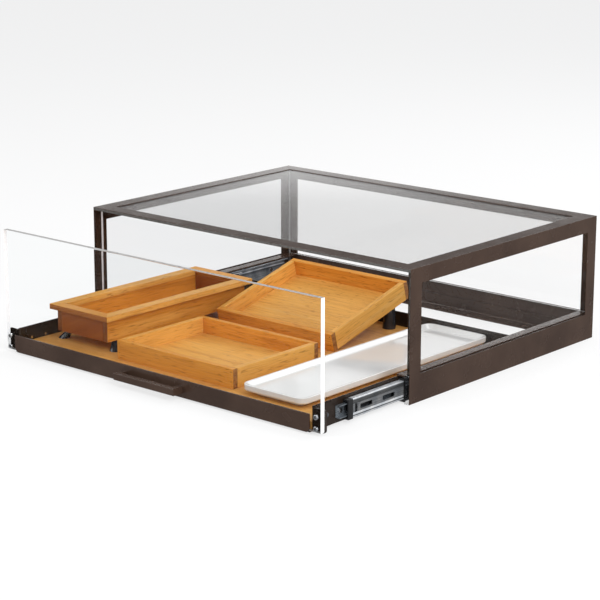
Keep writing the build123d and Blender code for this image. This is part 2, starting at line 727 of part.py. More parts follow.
with BuildPart() as display_box_floor:
    with BuildSketch(Plane.XY.offset(box_bottom)):
        with Locations(box_centre):
            Rectangle(*box_hollow)
    extrude(amount=box_floor)
save(display_box_floor, "display_box_floor")

with BuildPart() as display_box_rim:
    with BuildSketch(Plane.XY.offset(box_bottom + box_body_height)):
        with Locations(box_centre):
            Rectangle(box_body_width + 2 * box_rim_overhang, box_body_depth + 2 * box_rim_overhang)
            Rectangle(*box_hollow, mode=Mode.SUBTRACT)
    extrude(amount=box_rim_height)
save(display_box_rim, "display_box_rim")

with BuildPart() as display_box_feet:
    for side_x in (-1, 1):
        for side_y in (-1, 1):
            foot_top = (box_centre[0] + side_x * (box_body_width / 2 - box_foot_inset_x),
                        box_centre[1] + side_y * (box_body_depth / 2 - box_foot_inset_y))
            with BuildSketch(Plane.XY.offset(board_top)):
                with Locations((foot_top[0] + side_x * box_foot_splay,
                                foot_top[1] + side_y * box_foot_splay)):
                    Circle(box_foot_radius)
            with BuildSketch(Plane.XY.offset(box_bottom)):
                with Locations(foot_top):
                    Circle(box_foot_top_radius)
            loft()
save(display_box_feet, "display_box_feet")

# ---- Platter ------------------------------------------------------------------------------------
def platter_outline(height, inset, corner):
    """The platter's rounded outline at a height above the board, drawn in from its outside."""
    with BuildSketch(Plane.XY.offset(board_top + height)) as outline:
        with Locations(platter_centre):
            RectangleRounded(platter_width - 2 * inset, platter_depth - 2 * inset, corner)
    return outline.sketch


with BuildPart() as serving_platter:
    extrude(platter_outline(platter_foot_height, 0, platter_corner),
            amount=platter_height - platter_foot_height)
    fillet(serving_platter.faces().sort_by(Axis.Z)[0].edges(), platter_under_round)
    loft([platter_outline(platter_floor_height, platter_floor_inset, platter_floor_corner),
          platter_outline(platter_height, platter_rim, platter_corner - platter_rim)],
         mode=Mode.SUBTRACT)
    fillet(serving_platter.faces().sort_by(Axis.Z)[-1].edges(), platter_rim_round)
    extrude(platter_outline(0, platter_foot_inset, platter_foot_corner), amount=platter_foot_height)
save(serving_platter, "serving_platter")
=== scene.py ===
"""Looks of a countertop bread display bin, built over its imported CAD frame."""
import logging
import math
from dataclasses import dataclass
from enum import Enum
from typing import Callable, Iterable, Sequence

import bmesh
import bpy
from mathutils import Matrix, Vector


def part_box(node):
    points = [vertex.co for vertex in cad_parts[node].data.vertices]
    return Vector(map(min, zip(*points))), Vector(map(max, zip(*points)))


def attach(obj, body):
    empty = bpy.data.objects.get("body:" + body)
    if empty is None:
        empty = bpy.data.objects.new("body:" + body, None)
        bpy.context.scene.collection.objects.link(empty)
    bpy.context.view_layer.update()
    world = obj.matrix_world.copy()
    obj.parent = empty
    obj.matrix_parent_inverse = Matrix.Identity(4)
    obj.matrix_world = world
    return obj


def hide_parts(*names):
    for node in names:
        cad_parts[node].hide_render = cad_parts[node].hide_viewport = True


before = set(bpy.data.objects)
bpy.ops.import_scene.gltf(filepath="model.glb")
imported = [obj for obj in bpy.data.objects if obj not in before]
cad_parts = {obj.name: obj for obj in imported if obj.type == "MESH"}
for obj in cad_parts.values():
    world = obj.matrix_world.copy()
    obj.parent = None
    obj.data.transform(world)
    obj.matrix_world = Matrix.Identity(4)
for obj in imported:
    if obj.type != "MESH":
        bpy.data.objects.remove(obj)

LOG = logging.getLogger("display_bin")
Colour = tuple[float, float, float]
Triple = tuple[float, float, float]
LEFT, RIGHT = "left", "right"
REAR_TRAY_TILT = math.radians(15.0)
REAR_TRAY_DEPTH = 0.193
WHITE = (1.0, 1.0, 1.0)
HALF_TURN = math.pi
QUARTER_TURN = math.pi / 2
SHARP = 0.5          # radians between two faces, past which their edge is sharp
LEVEL = 0.01         # radians between two faces, under which they count as one
ASIDE = 0.5          # cosine to an axis, under which a face lies aside from it
END_ON = 0.7         # cosine to an axis, past which a face of a board is one of its ends


# ---- Node recipes ----
class Recipe:
    """A node tree that is put together node by node."""

    def __init__(self, tree: bpy.types.NodeTree) -> None:
        """Start with an empty tree.

        Args:
            tree: The tree of a material or of the world.
        """
        self.tree = tree
        self.tree.nodes.clear()

    def node(self, kind: str, **settings: object) -> bpy.types.Node:
        """Add a node and set its properties.

        Args:
            kind: Node type, such as ShaderNodeTexNoise.
            **settings: Properties of the node by name.

        Returns:
            The new node.
        """
        made = self.tree.nodes.new(kind)
        for key, value in settings.items():
            setattr(made, key, value)
        return made

    def wire(self, source: bpy.types.NodeSocket, target: bpy.types.NodeSocket) -> None:
        """Join an output socket to an input socket."""
        self.tree.links.new(source, target)

    def values(self, target: bpy.types.Node, **sockets: object) -> bpy.types.Node:
        """Set a node's input sockets by name, with spaces written as underscores.

        Args:
            target: The node.
            **sockets: Values by socket name.

        Returns:
            The same node.
        """
        for key, value in sockets.items():
            target.inputs[key.replace("_", " ")].default_value = value
        return target

    def place(self, scale: Sequence[float] = (1, 1, 1), turn: Sequence[float] = (0, 0, 0),
              shift: Sequence[float] = (0, 0, 0)) -> bpy.types.NodeSocket:
        """Object coordinates, turned, shifted and scaled for one pattern.

        Args:
            scale: Scale along each axis after the turn.
            turn: Turn about each axis, in radians.
            shift: Shift along each axis.

        Returns:
            The socket that carries the coordinates.
        """
        source = self.node("ShaderNodeTexCoord")
        turned = self.values(self.node("ShaderNodeMapping"), Rotation=turn, Location=shift)
        self.wire(source.outputs["Object"], turned.inputs["Vector"])
        stretched = self.values(self.node("ShaderNodeMapping"), Scale=scale)
        self.wire(turned.outputs["Vector"], stretched.inputs["Vector"])
        return stretched.outputs["Vector"]

    def noise(self, where: bpy.types.NodeSocket, scale: float = 1.0, detail: float = 3.0,
              distortion: float = 0.0) -> bpy.types.NodeSocket:
        """A noise pattern.

        Args:
            where: Coordinates.
            scale: Cells to the metre.
            detail: Octaves.
            distortion: How far the pattern is bent by itself.

        Returns:
            The socket that carries its value from 0 to 1.
        """
        pattern = self.values(self.node("ShaderNodeTexNoise"), Scale=scale, Detail=detail,
                              Distortion=distortion)
        self.wire(where, pattern.inputs["Vector"])
        return pattern.outputs["Fac"]

    def ramp(self, value: bpy.types.NodeSocket, stops: Sequence[tuple[float, Colour]]
             ) -> bpy.types.NodeSocket:
        """Colours along a value.

        Args:
            value: The value's socket.
            stops: Places from 0 to 1 and their linear colours.

        Returns:
            The socket that carries the colour.
        """
        made = self.node("ShaderNodeValToRGB")
        points = made.color_ramp.elements
        while len(points) < len(stops):
            points.new(0.5)
        for point, (place, colour) in zip(points, stops):
            point.position = place
            point.color = (*colour, 1.0)
        self.wire(value, made.inputs["Fac"])
        return made.outputs["Color"]

    def span(self, value: bpy.types.NodeSocket, low: float, high: float,
             start: float = 0.3, end: float = 0.7) -> bpy.types.NodeSocket:
        """Stretch a value to run between two limits.

        Args:
            value: The value's socket.
            low: What it becomes at start.
            high: What it becomes at end.
            start: Value that maps to low.
            end: Value that maps to high.

        Returns:
            The socket that carries the result.
        """
        made = self.values(self.node("ShaderNodeMapRange"), From_Min=start, From_Max=end,
                           To_Min=low, To_Max=high)
        self.wire(value, made.inputs["Value"])
        return made.outputs["Result"]

    def tint(self, base: bpy.types.NodeSocket, over: bpy.types.NodeSocket, share: float = 1.0
             ) -> bpy.types.NodeSocket:
        """Multiply a colour by another.

        Args:
            base: The colour's socket.
            over: The socket of the colour that darkens it.
            share: How much of the darkening shows.

        Returns:
            The socket that carries the result.
        """
        made = self.node("ShaderNodeMix", data_type="RGBA", blend_type="MULTIPLY")
        made.inputs["Factor"].default_value = share
        first, second = [s for s in made.inputs if s.type == "RGBA"]
        self.wire(base, first)
        self.wire(over, second)
        return next(s for s in made.outputs if s.type == "RGBA")

    def combine(self, operation: str, *values: bpy.types.NodeSocket) -> bpy.types.NodeSocket:
        """Combine two values into one.

        Args:
            operation: How, such as MAXIMUM or MULTIPLY.
            *values: The values' sockets.

        Returns:
            The socket that carries the result.
        """
        made = self.node("ShaderNodeMath", operation=operation)
        for value, target in zip(values, made.inputs):
            self.wire(value, target)
        return made.outputs[0]

    def choose(self, *sources: bpy.types.NodeSocket) -> bpy.types.NodeSocket:
        """Choose between two shaders.

        Args:
            *sources: The socket of the choice, then the shaders that 0 and 1 stand for.

        Returns:
            The socket that carries the result.
        """
        made = self.node("ShaderNodeMixShader")
        for source, target in zip(sources, made.inputs):
            self.wire(source, target)
        return made.outputs["Shader"]

    def height(self, where: bpy.types.NodeSocket, top: float) -> bpy.types.NodeSocket:
        """The height of a point as a share of a full height.

        Args:
            where: Coordinates.
            top: The height that counts as 1.

        Returns:
            The socket that carries it.
        """
        parts = self.node("ShaderNodeSeparateXYZ")
        self.wire(where, parts.inputs[0])
        return self.span(parts.outputs["Z"], 0.0, 1.0, 0.0, top)


class Coat(Recipe):
    """A material and its node tree, with a Principled shader wired to its output."""

    def __init__(self, name: str) -> None:
        """Start the material.

        Args:
            name: Name of the material.
        """
        self.material = bpy.data.materials.new(name)
        self.material.use_nodes = True
        super().__init__(self.material.node_tree)
        self.output = self.node("ShaderNodeOutputMaterial")
        self.shader = self.node("ShaderNodeBsdfPrincipled")
        self.wire(self.shader.outputs["BSDF"], self.output.inputs["Surface"])

    def colour(self, source: bpy.types.NodeSocket) -> None:
        """Take the base colour from a socket."""
        self.wire(source, self.shader.inputs["Base Color"])

    def gloss(self, source: bpy.types.NodeSocket) -> None:
        """Take the roughness from a socket."""
        self.wire(source, self.shader.inputs["Roughness"])

    def relief(self, height: bpy.types.NodeSocket, depth: float, strength: float) -> None:
        """Raise the surface by a height pattern.

        Args:
            height: The pattern, from 0 to 1.
            depth: Its full depth in metres.
            strength: Share of it that shows.
        """
        bump = self.values(self.node("ShaderNodeBump"), Strength=strength, Distance=depth)
        self.wire(height, bump.inputs["Height"])
        self.wire(bump.outputs["Normal"], self.shader.inputs["Normal"])


# ---- Finishes ----
@dataclass(frozen=True)
class Finish:
    """A surface finish, which makes its own material."""

    name: str

    def material(self) -> bpy.types.Material:
        """Build the material."""
        coat = Coat(self.name)
        self.lay(coat)
        return coat.material

    def lay(self, coat: Coat) -> None:
        """Lay the colour, gloss and relief of the finish on a new material."""
        raise NotImplementedError(self.name)


@dataclass(frozen=True)
class PowderCoat(Finish):
    """Fine-textured bronze powder coat on flat bar and sheet."""

    dark: Colour = (0.046, 0.025, 0.017)
    light: Colour = (0.072, 0.042, 0.029)
    roughness: tuple[float, float] = (0.20, 0.30)
    shine: float = 0.35
    grain: float = 1500.0
    grain_depth: float = 0.00002

    def lay(self, coat: Coat) -> None:
        """Lay the finish on a new material."""
        where = coat.place()
        cloud = coat.noise(where, scale=11.0, detail=5.0)
        coat.colour(coat.ramp(cloud, [(0.35, self.dark), (0.65, self.light)]))
        coat.gloss(coat.span(coat.noise(where, scale=35.0), *self.roughness))
        coat.relief(coat.noise(where, self.grain, detail=2.0), self.grain_depth, strength=0.4)
        coat.values(coat.shader, Specular_IOR_Level=self.shine)


@dataclass(frozen=True)
class Acrylic(Finish):
    """Clear cast acrylic, polished."""

    tint: Colour = (0.975, 0.985, 0.985)
    haze: float = 0.015
    bend: float = 1.15
    let_through: float = 0.94

    def lay(self, coat: Coat) -> None:
        """Lay the finish on a new material."""
        smears = coat.noise(coat.place(), scale=14.0, detail=2.0)
        coat.gloss(coat.span(smears, 0.0, self.haze, start=0.45, end=0.75))
        coat.values(coat.shader, Base_Color=(*self.tint, 1.0), IOR=self.bend,
                    Transmission_Weight=1.0)
        clear = coat.values(coat.node("ShaderNodeBsdfTransparent"),
                            Color=(*(self.let_through,) * 3, 1.0))
        rays = coat.node("ShaderNodeLightPath").outputs
        lamplight = coat.combine("MAXIMUM", rays["Is Shadow Ray"], rays["Is Diffuse Ray"])
        coat.wire(coat.choose(lamplight, coat.shader.outputs["BSDF"], clear.outputs["BSDF"]),
                  coat.output.inputs["Surface"])


@dataclass(frozen=True)
class AcrylicEdge(Finish):
    """The sawn and scraped edge of an acrylic sheet, with a painted glow and a painted tone of
    light or shade.
    """

    body: Colour
    painted_glow: float = 0.0
    stroke_shade: float = 0.9
    roughness: tuple[float, float] = (0.22, 0.36)
    acrylic_bend: float = 1.49

    def lay(self, coat: Coat) -> None:
        """Lay the finish on a new material."""
        strokes = coat.noise(coat.place((25.0, 25.0, 25.0)), scale=8.0)
        shaded = tuple(c * self.stroke_shade for c in self.body)
        coat.colour(coat.ramp(strokes, [(0.3, shaded), (0.7, self.body)]))
        coat.gloss(coat.span(strokes, *self.roughness))
        coat.values(coat.shader, IOR=self.acrylic_bend, Emission_Color=(*self.body, 1.0),
                    Emission_Strength=self.painted_glow)


@dataclass(frozen=True)
class RolledSteel(Finish):
    """Rolled or turned bright metal, with fine lines along its length, and optional stripes by
    height that are painted highlights and painted shade.
    """

    dark: Colour = (0.34, 0.37, 0.42)
    light: Colour = (0.62, 0.66, 0.72)
    roughness: tuple[float, float] = (0.20, 0.36)
    lines: Triple = (1400.0, 12.0, 1400.0)
    metallic: float = 1.0
    bands: tuple[tuple[float, float], ...] = ()
    band_top: float = 0.040
    line_depth: float = 0.00002

    def lay(self, coat: Coat) -> None:
        """Lay the finish on a new material."""
        where = coat.place()
        drawn = coat.noise(coat.place(self.lines), detail=2.0)
        cloud = coat.noise(where, scale=60.0, detail=4.0)
        colour = coat.ramp(cloud, [(0.3, self.dark), (0.7, self.light)])
        # Painted highlights and painted shade: stripes by height that lighten the bends and darken
        # the recesses.
        if self.bands:
            stops = [(z / self.band_top, (level,) * 3) for z, level in self.bands]
            colour = coat.tint(colour, coat.ramp(coat.height(where, self.band_top), stops))
        coat.colour(colour)
        coat.gloss(coat.span(drawn, *self.roughness))
        coat.relief(drawn, self.line_depth, strength=0.25)
        coat.values(coat.shader, Metallic=self.metallic)


@dataclass(frozen=True)
class Moulded(Finish):
    """Moulded plastic or rubber."""

    dark: Colour = (0.010, 0.010, 0.011)
    light: Colour = (0.022, 0.022, 0.024)
    roughness: tuple[float, float] = (0.30, 0.50)
    grain: float = 900.0
    grain_depth: float = 0.00003

    def lay(self, coat: Coat) -> None:
        """Lay the finish on a new material."""
        where = coat.place()
        cloud = coat.noise(where, scale=25.0)
        coat.colour(coat.ramp(cloud, [(0.35, self.dark), (0.65, self.light)]))
        coat.gloss(coat.span(coat.noise(where, scale=70.0), *self.roughness))
        coat.relief(coat.noise(where, self.grain, detail=1.0), self.grain_depth, strength=0.4)


@dataclass(frozen=True)
class Glaze(Finish):
    """White gloss glaze, with the faint unevenness of a fired surface."""

    name: str = "white_glaze"
    dark: Colour = (0.80, 0.80, 0.79)
    light: Colour = (0.86, 0.86, 0.85)
    roughness: tuple[float, float] = (0.08, 0.16)
    ripple_depth: float = 0.0001
    clear_coat: float = 0.4
    clear_coat_roughness: float = 0.05

    def lay(self, coat: Coat) -> None:
        """Lay the finish on a new material."""
        where = coat.place()
        cloud = coat.noise(where, scale=12.0)
        coat.colour(coat.ramp(cloud, [(0.3, self.dark), (0.7, self.light)]))
        coat.gloss(coat.span(coat.noise(where, scale=40.0), *self.roughness))
        coat.relief(coat.noise(where, scale=90.0, detail=2.0), self.ripple_depth, strength=0.12)
        coat.values(coat.shader, Coat_Weight=self.clear_coat,
                    Coat_Roughness=self.clear_coat_roughness)


class Grain(Enum):
    """The way that a board's grain runs: the turn that brings its length to X."""

    ACROSS = (0.0, 0.0, 0.0)
    BACK = (0.0, 0.0, -QUARTER_TURN)
    ASLANT = (0.0, math.radians(24), 0.0)


@dataclass(frozen=True)
class Timber(Finish):
    """Oiled honey-coloured hardwood with fine straight grain."""

    grain: Grain = Grain.ACROSS
    tilt: float = 0.0
    shift: Triple = (0.0, 0.0, 0.0)
    pale: Colour = (0.92, 0.57, 0.19)
    honey: Colour = (0.87, 0.46, 0.105)
    brown: Colour = (0.70, 0.31, 0.055)
    figure: float = 42.0
    fibre_shade: Colour = (0.72, 0.60, 0.48)
    pore_shade: Colour = (0.45, 0.30, 0.20)
    patch_shade: Colour = (0.84, 0.78, 0.70)
    roughness: tuple[float, float] = (0.36, 0.52)
    fibre_depth: float = 0.00010
    shine: float = 0.2

    def lay(self, coat: Coat) -> None:
        """Lay the finish on a new material."""
        turn = (self.grain.value[0] - self.tilt, self.grain.value[1], self.grain.value[2])

        def along(length: float, width: float) -> bpy.types.NodeSocket:
            """Coordinates for marks that many to the metre along the grain and across it."""
            return coat.place((length, width, width), turn, self.shift)

        bands = coat.noise(along(2.4, self.figure), detail=4.0, distortion=1.1)
        fibres = coat.noise(along(16.0, 1000.0))
        pores = coat.noise(along(55.0, 620.0), detail=1.0)
        patches = coat.noise(along(4.0, 9.0))
        colour = coat.ramp(bands, [(0.28, self.brown), (0.43, self.honey), (0.57, self.honey),
                                   (0.74, self.pale)])
        for marks, shade, start, end, share in (
                (fibres, self.fibre_shade, 0.34, 0.52, 0.8),
                (pores, self.pore_shade, 0.30, 0.36, 0.7),
                (patches, self.patch_shade, 0.30, 0.70, 1.0)):
            colour = coat.tint(colour, coat.ramp(marks, [(start, shade), (end, WHITE)]), share)
        coat.colour(colour)
        coat.gloss(coat.span(fibres, *self.roughness))
        coat.relief(fibres, self.fibre_depth, strength=0.5)
        coat.values(coat.shader, Specular_IOR_Level=self.shine)


@dataclass(frozen=True)
class EndGrain(Finish):
    """The sawn end of a board, darker with oil and full of pores."""

    name: str = "end_grain"
    dark: Colour = (0.24, 0.085, 0.018)
    light: Colour = (0.46, 0.20, 0.052)
    pore_shade: Colour = (0.5, 0.4, 0.3)
    roughness: tuple[float, float] = (0.45, 0.65)
    pore_depth: float = 0.00012

    def lay(self, coat: Coat) -> None:
        """Lay the finish on a new material."""
        rings = coat.noise(coat.place((90.0, 90.0, 420.0)), distortion=0.6)
        pores = coat.noise(coat.place(), scale=1500.0, detail=1.0)
        base = coat.ramp(rings, [(0.35, self.dark), (0.65, self.light)])
        coat.colour(coat.tint(base, coat.ramp(pores, [(0.35, self.pore_shade), (0.5, WHITE)])))
        coat.gloss(coat.span(pores, *self.roughness))
        coat.relief(pores, self.pore_depth, strength=0.5)


class Palette:
    """The finishes of the whole object, each made once."""

    def __init__(self) -> None:
        """Start with nothing made."""
        self._made: dict[str, bpy.types.Material] = {}

    def get(self, finish: Finish) -> bpy.types.Material:
        """The material of a finish, built the first time that it is asked for."""
        if finish.name not in self._made:
            self._made[finish.name] = finish.material()
        return self._made[finish.name]


PALETTE = Palette()
BRONZE = PowderCoat("bronze_powder_coat")
# The top frame's coat is a lighter, glossier copy of the bronze: its lighter colours are a painted
# sheen.
ROOF_BRONZE_PAINTED_SHEEN = PowderCoat("roof_powder_coat_painted_sheen", dark=(0.076, 0.055, 0.046),
                        light=(0.110, 0.083, 0.072), roughness=(0.05, 0.09), shine=0.5)
# The pan and its brackets take a much darker copy of the same bronze coat: painted shade.
PAN_BRONZE_PAINTED_SHADE = PowderCoat("pan_powder_coat_painted_shade", dark=(0.016, 0.010, 0.007), light=(0.028, 0.018, 0.013))
PALE_TINT = (0.985, 0.985, 0.985)
ACRYLIC = Acrylic("clear_acrylic", bend=1.12)
# The left pane is tinted greyer than the right one: painted shade.
LEFT_ACRYLIC_PAINTED_SHADE = Acrylic("left_acrylic_painted_shade", tint=(0.875, 0.88, 0.885))
RIGHT_ACRYLIC = Acrylic("right_acrylic", tint=PALE_TINT)
CASE_ACRYLIC = Acrylic("case_acrylic", tint=PALE_TINT, bend=1.3)
# Edge tones are painted light: the white and rose edges are painted highlights with a painted
# glow, the grey edges a painted mid tone with a faint painted glow, the dark edges painted shade.
EDGE_WHITE = AcrylicEdge("acrylic_side_edge", (0.90, 0.91, 0.92), 0.35)
EDGE_GREY = AcrylicEdge("acrylic_top_edge", (0.42, 0.41, 0.40), 0.05)
EDGE_ROSE = AcrylicEdge("acrylic_rebate_edge", (0.80, 0.75, 0.75), 0.10)
EDGE_DARK = AcrylicEdge("acrylic_roof_edge", (0.10, 0.095, 0.088))
# The drawer members and ball cages take a darkened copy of the zinc: painted shade.
ZINC = RolledSteel("zinc_plate", dark=(0.12, 0.14, 0.16), light=(0.34, 0.38, 0.42), metallic=0.7)
# The middle and cabinet members take bright copies of the zinc with stripes by height: painted
# highlights on the bends, painted shade on the webs and gaps.
MIDDLE_ZINC = RolledSteel("middle_zinc_plate", dark=(0.55, 0.60, 0.66), light=WHITE,
                          metallic=0.35, bands=((0.0086, 0.75), (0.0094, 0.06), (0.0102, 0.06),
                                                (0.0108, 1.0), (0.0134, 1.0), (0.0142, 0.24),
                                                (0.0262, 0.24), (0.0272, 0.09), (0.0322, 0.12),
                                                (0.0332, 0.9)))
CABINET_ZINC = RolledSteel("cabinet_zinc_plate", dark=(0.40, 0.44, 0.50), light=(0.92, 0.95, 1.0),
                           metallic=0.5, bands=((0.0200, 0.30), (0.0262, 0.12), (0.0268, 1.0),
                                                (0.0280, 1.0), (0.0288, 0.30), (0.0312, 0.35),
                                                (0.0318, 1.0), (0.0328, 1.0), (0.0336, 0.12),
                                                (0.0356, 0.12), (0.0364, 1.0)))
TURNED = (900.0, 900.0, 900.0)
BALL_STEEL = RolledSteel("ball_steel", light=(0.75, 0.76, 0.78), roughness=(0.08, 0.16))
SCREW_STEEL = RolledSteel("screw_steel", light=(0.80, 0.80, 0.80), roughness=(0.14, 0.24),
                          lines=TURNED)
NAIL_STEEL = RolledSteel("nail_steel", dark=(0.05, 0.035, 0.02), light=(0.09, 0.06, 0.04),
                         lines=TURNED)
BOARD_TIMBER = Timber("board_timber", pale=(0.86, 0.52, 0.19), honey=(0.80, 0.43, 0.125),
                      brown=(0.66, 0.30, 0.070), figure=30.0)
BLACK_PLASTIC = Moulded("black_plastic")
BLACK_RUBBER = Moulded("black_rubber", dark=(0.014, 0.014, 0.017), light=(0.026, 0.028, 0.034),
                       roughness=(0.16, 0.26))
WHITE_GLAZE = Glaze()
END_GRAIN = EndGrain()


# ---- Stock: meshes in the making ----
class Stock:
    """A mesh in the making, cut and joined with bmesh operators."""

    def __init__(self) -> None:
        """Start with nothing."""
        self.bm = bmesh.new()

    def block(self, low: Vector, high: Vector) -> "Stock":
        """Add a square-edged block between two corners.

        Args:
            low: Its lowest corner.
            high: Its highest corner.

        Returns:
            The stock itself.
        """
        verts = bmesh.ops.create_cube(self.bm, size=1.0)["verts"]
        bmesh.ops.scale(self.bm, vec=high - low, verts=verts)
        bmesh.ops.translate(self.bm, vec=(low + high) / 2, verts=verts)
        return self

    def saw(self, point: Vector, normal: Vector) -> "Stock":
        """Cut away all that lies beyond a plane, and close the cut.

        Args:
            point: A point of the plane.
            normal: The way that the waste lies.

        Returns:
            The stock itself.
        """
        edges = [e for e in self.score(point, normal, True) if isinstance(e, bmesh.types.BMEdge)]
        bmesh.ops.contextual_create(self.bm, geom=edges)
        return self

    def score(self, point: Vector, normal: Vector, clear: bool = False
              ) -> list[bmesh.types.BMVert | bmesh.types.BMEdge]:
        """Part the faces along a plane.

        Args:
            point: A point of the plane.
            normal: The way that the plane faces.
            clear: Whether all that lies beyond it goes.

        Returns:
            The vertices and edges that lie in the plane.
        """
        everything = self.bm.verts[:] + self.bm.edges[:] + self.bm.faces[:]
        return bmesh.ops.bisect_plane(self.bm, geom=everything, plane_co=point, plane_no=normal,
                                      clear_outer=clear)["geom_cut"]

    def pull(self, faces: Sequence[bmesh.types.BMFace], way: Vector) -> None:
        """Pull faces out of the mesh, with walls behind them.

        Args:
            faces: The faces.
            way: How far and which way they move.
        """
        grown = bmesh.ops.extrude_face_region(self.bm, geom=faces)["geom"]
        bmesh.ops.translate(self.bm, vec=way,
                            verts=[v for v in grown if isinstance(v, bmesh.types.BMVert)])

    def settle(self) -> None:
        """Merge the faces that lie level with each other, and point all of them outwards."""
        bmesh.ops.dissolve_limit(self.bm, angle_limit=LEVEL, verts=self.bm.verts[:],
                                 edges=self.bm.edges[:])
        bmesh.ops.recalc_face_normals(self.bm, faces=self.bm.faces[:])

    def sharp_edges(self) -> list[bmesh.types.BMEdge]:
        """The edges where two faces meet at an angle."""
        self.bm.normal_update()
        return [e for e in self.bm.edges
                if len(e.link_faces) == 2 and e.calc_face_angle(0.0) > SHARP]

    def soften(self, width: float, segments: int = 2,
               edges: Iterable[bmesh.types.BMEdge] | None = None) -> "Stock":
        """Round edges over.

        Args:
            width: How far the rounding runs from each edge.
            segments: Faces across it.
            edges: The edges, or every sharp one when not given.

        Returns:
            The stock itself.
        """
        chosen = self.sharp_edges() if edges is None else list(edges)
        bmesh.ops.bevel(self.bm, geom=chosen, offset=width, segments=segments, profile=0.5,
                        affect="EDGES", material=-1)
        return self

    def paint(self, slot: int, test: Callable[[bmesh.types.BMFace], bool]) -> "Stock":
        """Give the faces that pass a test one of the piece's finishes.

        Args:
            slot: Number of the finish.
            test: Whether a face is one of them.

        Returns:
            The stock itself.
        """
        self.bm.normal_update()
        for face in self.bm.faces:
            if test(face):
                face.material_index = slot
        return self

    def move(self, matrix: Matrix) -> "Stock":
        """Move all of it, and return the stock itself."""
        bmesh.ops.transform(self.bm, matrix=matrix, verts=self.bm.verts[:])
        return self

    def join(self, other: "Stock") -> "Stock":
        """Take in another stock, which is used up.

        Args:
            other: The stock to take in.

        Returns:
            The stock itself.
        """
        carrier = bpy.data.meshes.new("carrier")
        other.bm.to_mesh(carrier)
        other.bm.free()
        self.bm.from_mesh(carrier)
        bpy.data.meshes.remove(carrier)
        return self

    def ring(self, half_width: float, half_depth: float, corner: float, place: Vector,
             points: int) -> list[bmesh.types.BMEdge]:
        """Add the outline of a rectangle with round corners, lying flat.

        Args:
            half_width: Half its size along X.
            half_depth: Half its size along Y.
            corner: Radius of its corners.
            place: Its middle.
            points: Points round it, a multiple of four.

        Returns:
            Its edges.
        """
        turn = Matrix.Rotation(HALF_TURN / points, 4, "Z")
        verts = bmesh.ops.create_circle(self.bm, segments=points, radius=corner,
                                        matrix=turn)["verts"]
        for vert in verts:
            spread = Vector((math.copysign(half_width - corner, vert.co.x),
                             math.copysign(half_depth - corner, vert.co.y), 0.0))
            vert.co += spread + place
        return list(dict.fromkeys(e for v in verts for e in v.link_edges))

    def skin(self, rings: Sequence[list[bmesh.types.BMEdge]]) -> "Stock":
        """Join rings one to the next and close both ends.

        Args:
            rings: The rings' edges, in order.

        Returns:
            The stock itself.
        """
        for first, second in zip(rings, rings[1:]):
            bmesh.ops.bridge_loops(self.bm, edges=first + second)
        for end in (rings[0], rings[-1]):
            bmesh.ops.contextual_create(self.bm, geom=end)
        bmesh.ops.recalc_face_normals(self.bm, faces=self.bm.faces[:])
        return self

    def piece(self, name: str, finishes: Sequence[Finish], body: str, slot: str,
              *nodes: str) -> None:
        """Make the mesh a piece of the object.

        Args:
            name: The piece's name.
            finishes: Its finishes, in the order of their numbers.
            body: The body that it rides on.
            slot: The record's material slot named for the piece; not used.
            *nodes: The CAD nodes that it stands for.
        """
        bmesh.ops.recalc_face_normals(self.bm, faces=self.bm.faces[:])
        mesh = bpy.data.meshes.new(name)
        self.bm.to_mesh(mesh)
        self.bm.free()
        for finish in finishes:
            mesh.materials.append(PALETTE.get(finish))
        mesh.shade_smooth()
        made = bpy.data.objects.new(name, mesh)
        bpy.context.scene.collection.objects.link(made)
        made.modifiers.new("flat_faces_stay_flat", "WEIGHTED_NORMAL").keep_sharp = True
        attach(made, body)
        if nodes:
            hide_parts(*nodes)
        LOG.info("made %s: %d faces, rides on %s", name, len(mesh.polygons), body)


def corners(node: str) -> tuple[Vector, Vector]:
    """A CAD node's lowest and highest corners at rest."""
    low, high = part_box(node)
    return Vector(low), Vector(high)


def both(name: str) -> list[str]:
    """The names of a left and a right node."""
    return [f"{name}_{LEFT}", f"{name}_{RIGHT}"]


def facing(axis: str, cosine: float = END_ON) -> Callable[[bmesh.types.BMFace], bool]:
    """A test for faces that look along an axis, either way.

    Args:
        axis: The axis.
        cosine: How nearly a face looks along it, as a cosine.

    Returns:
        The test.
    """
    place = "XYZ".index(axis)
    return lambda face: abs(face.normal[place]) > cosine


def coat_nodes(finish: Finish, *names: str) -> None:
    """Give CAD nodes that stay visible their finish.

    Args:
        finish: The finish.
        *names: Names of the nodes.
    """
    for name in names:
        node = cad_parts[name]
        node.data.materials.clear()
        node.data.materials.append(PALETTE.get(finish))
        LOG.info("coated %s in %s", name, finish.name)


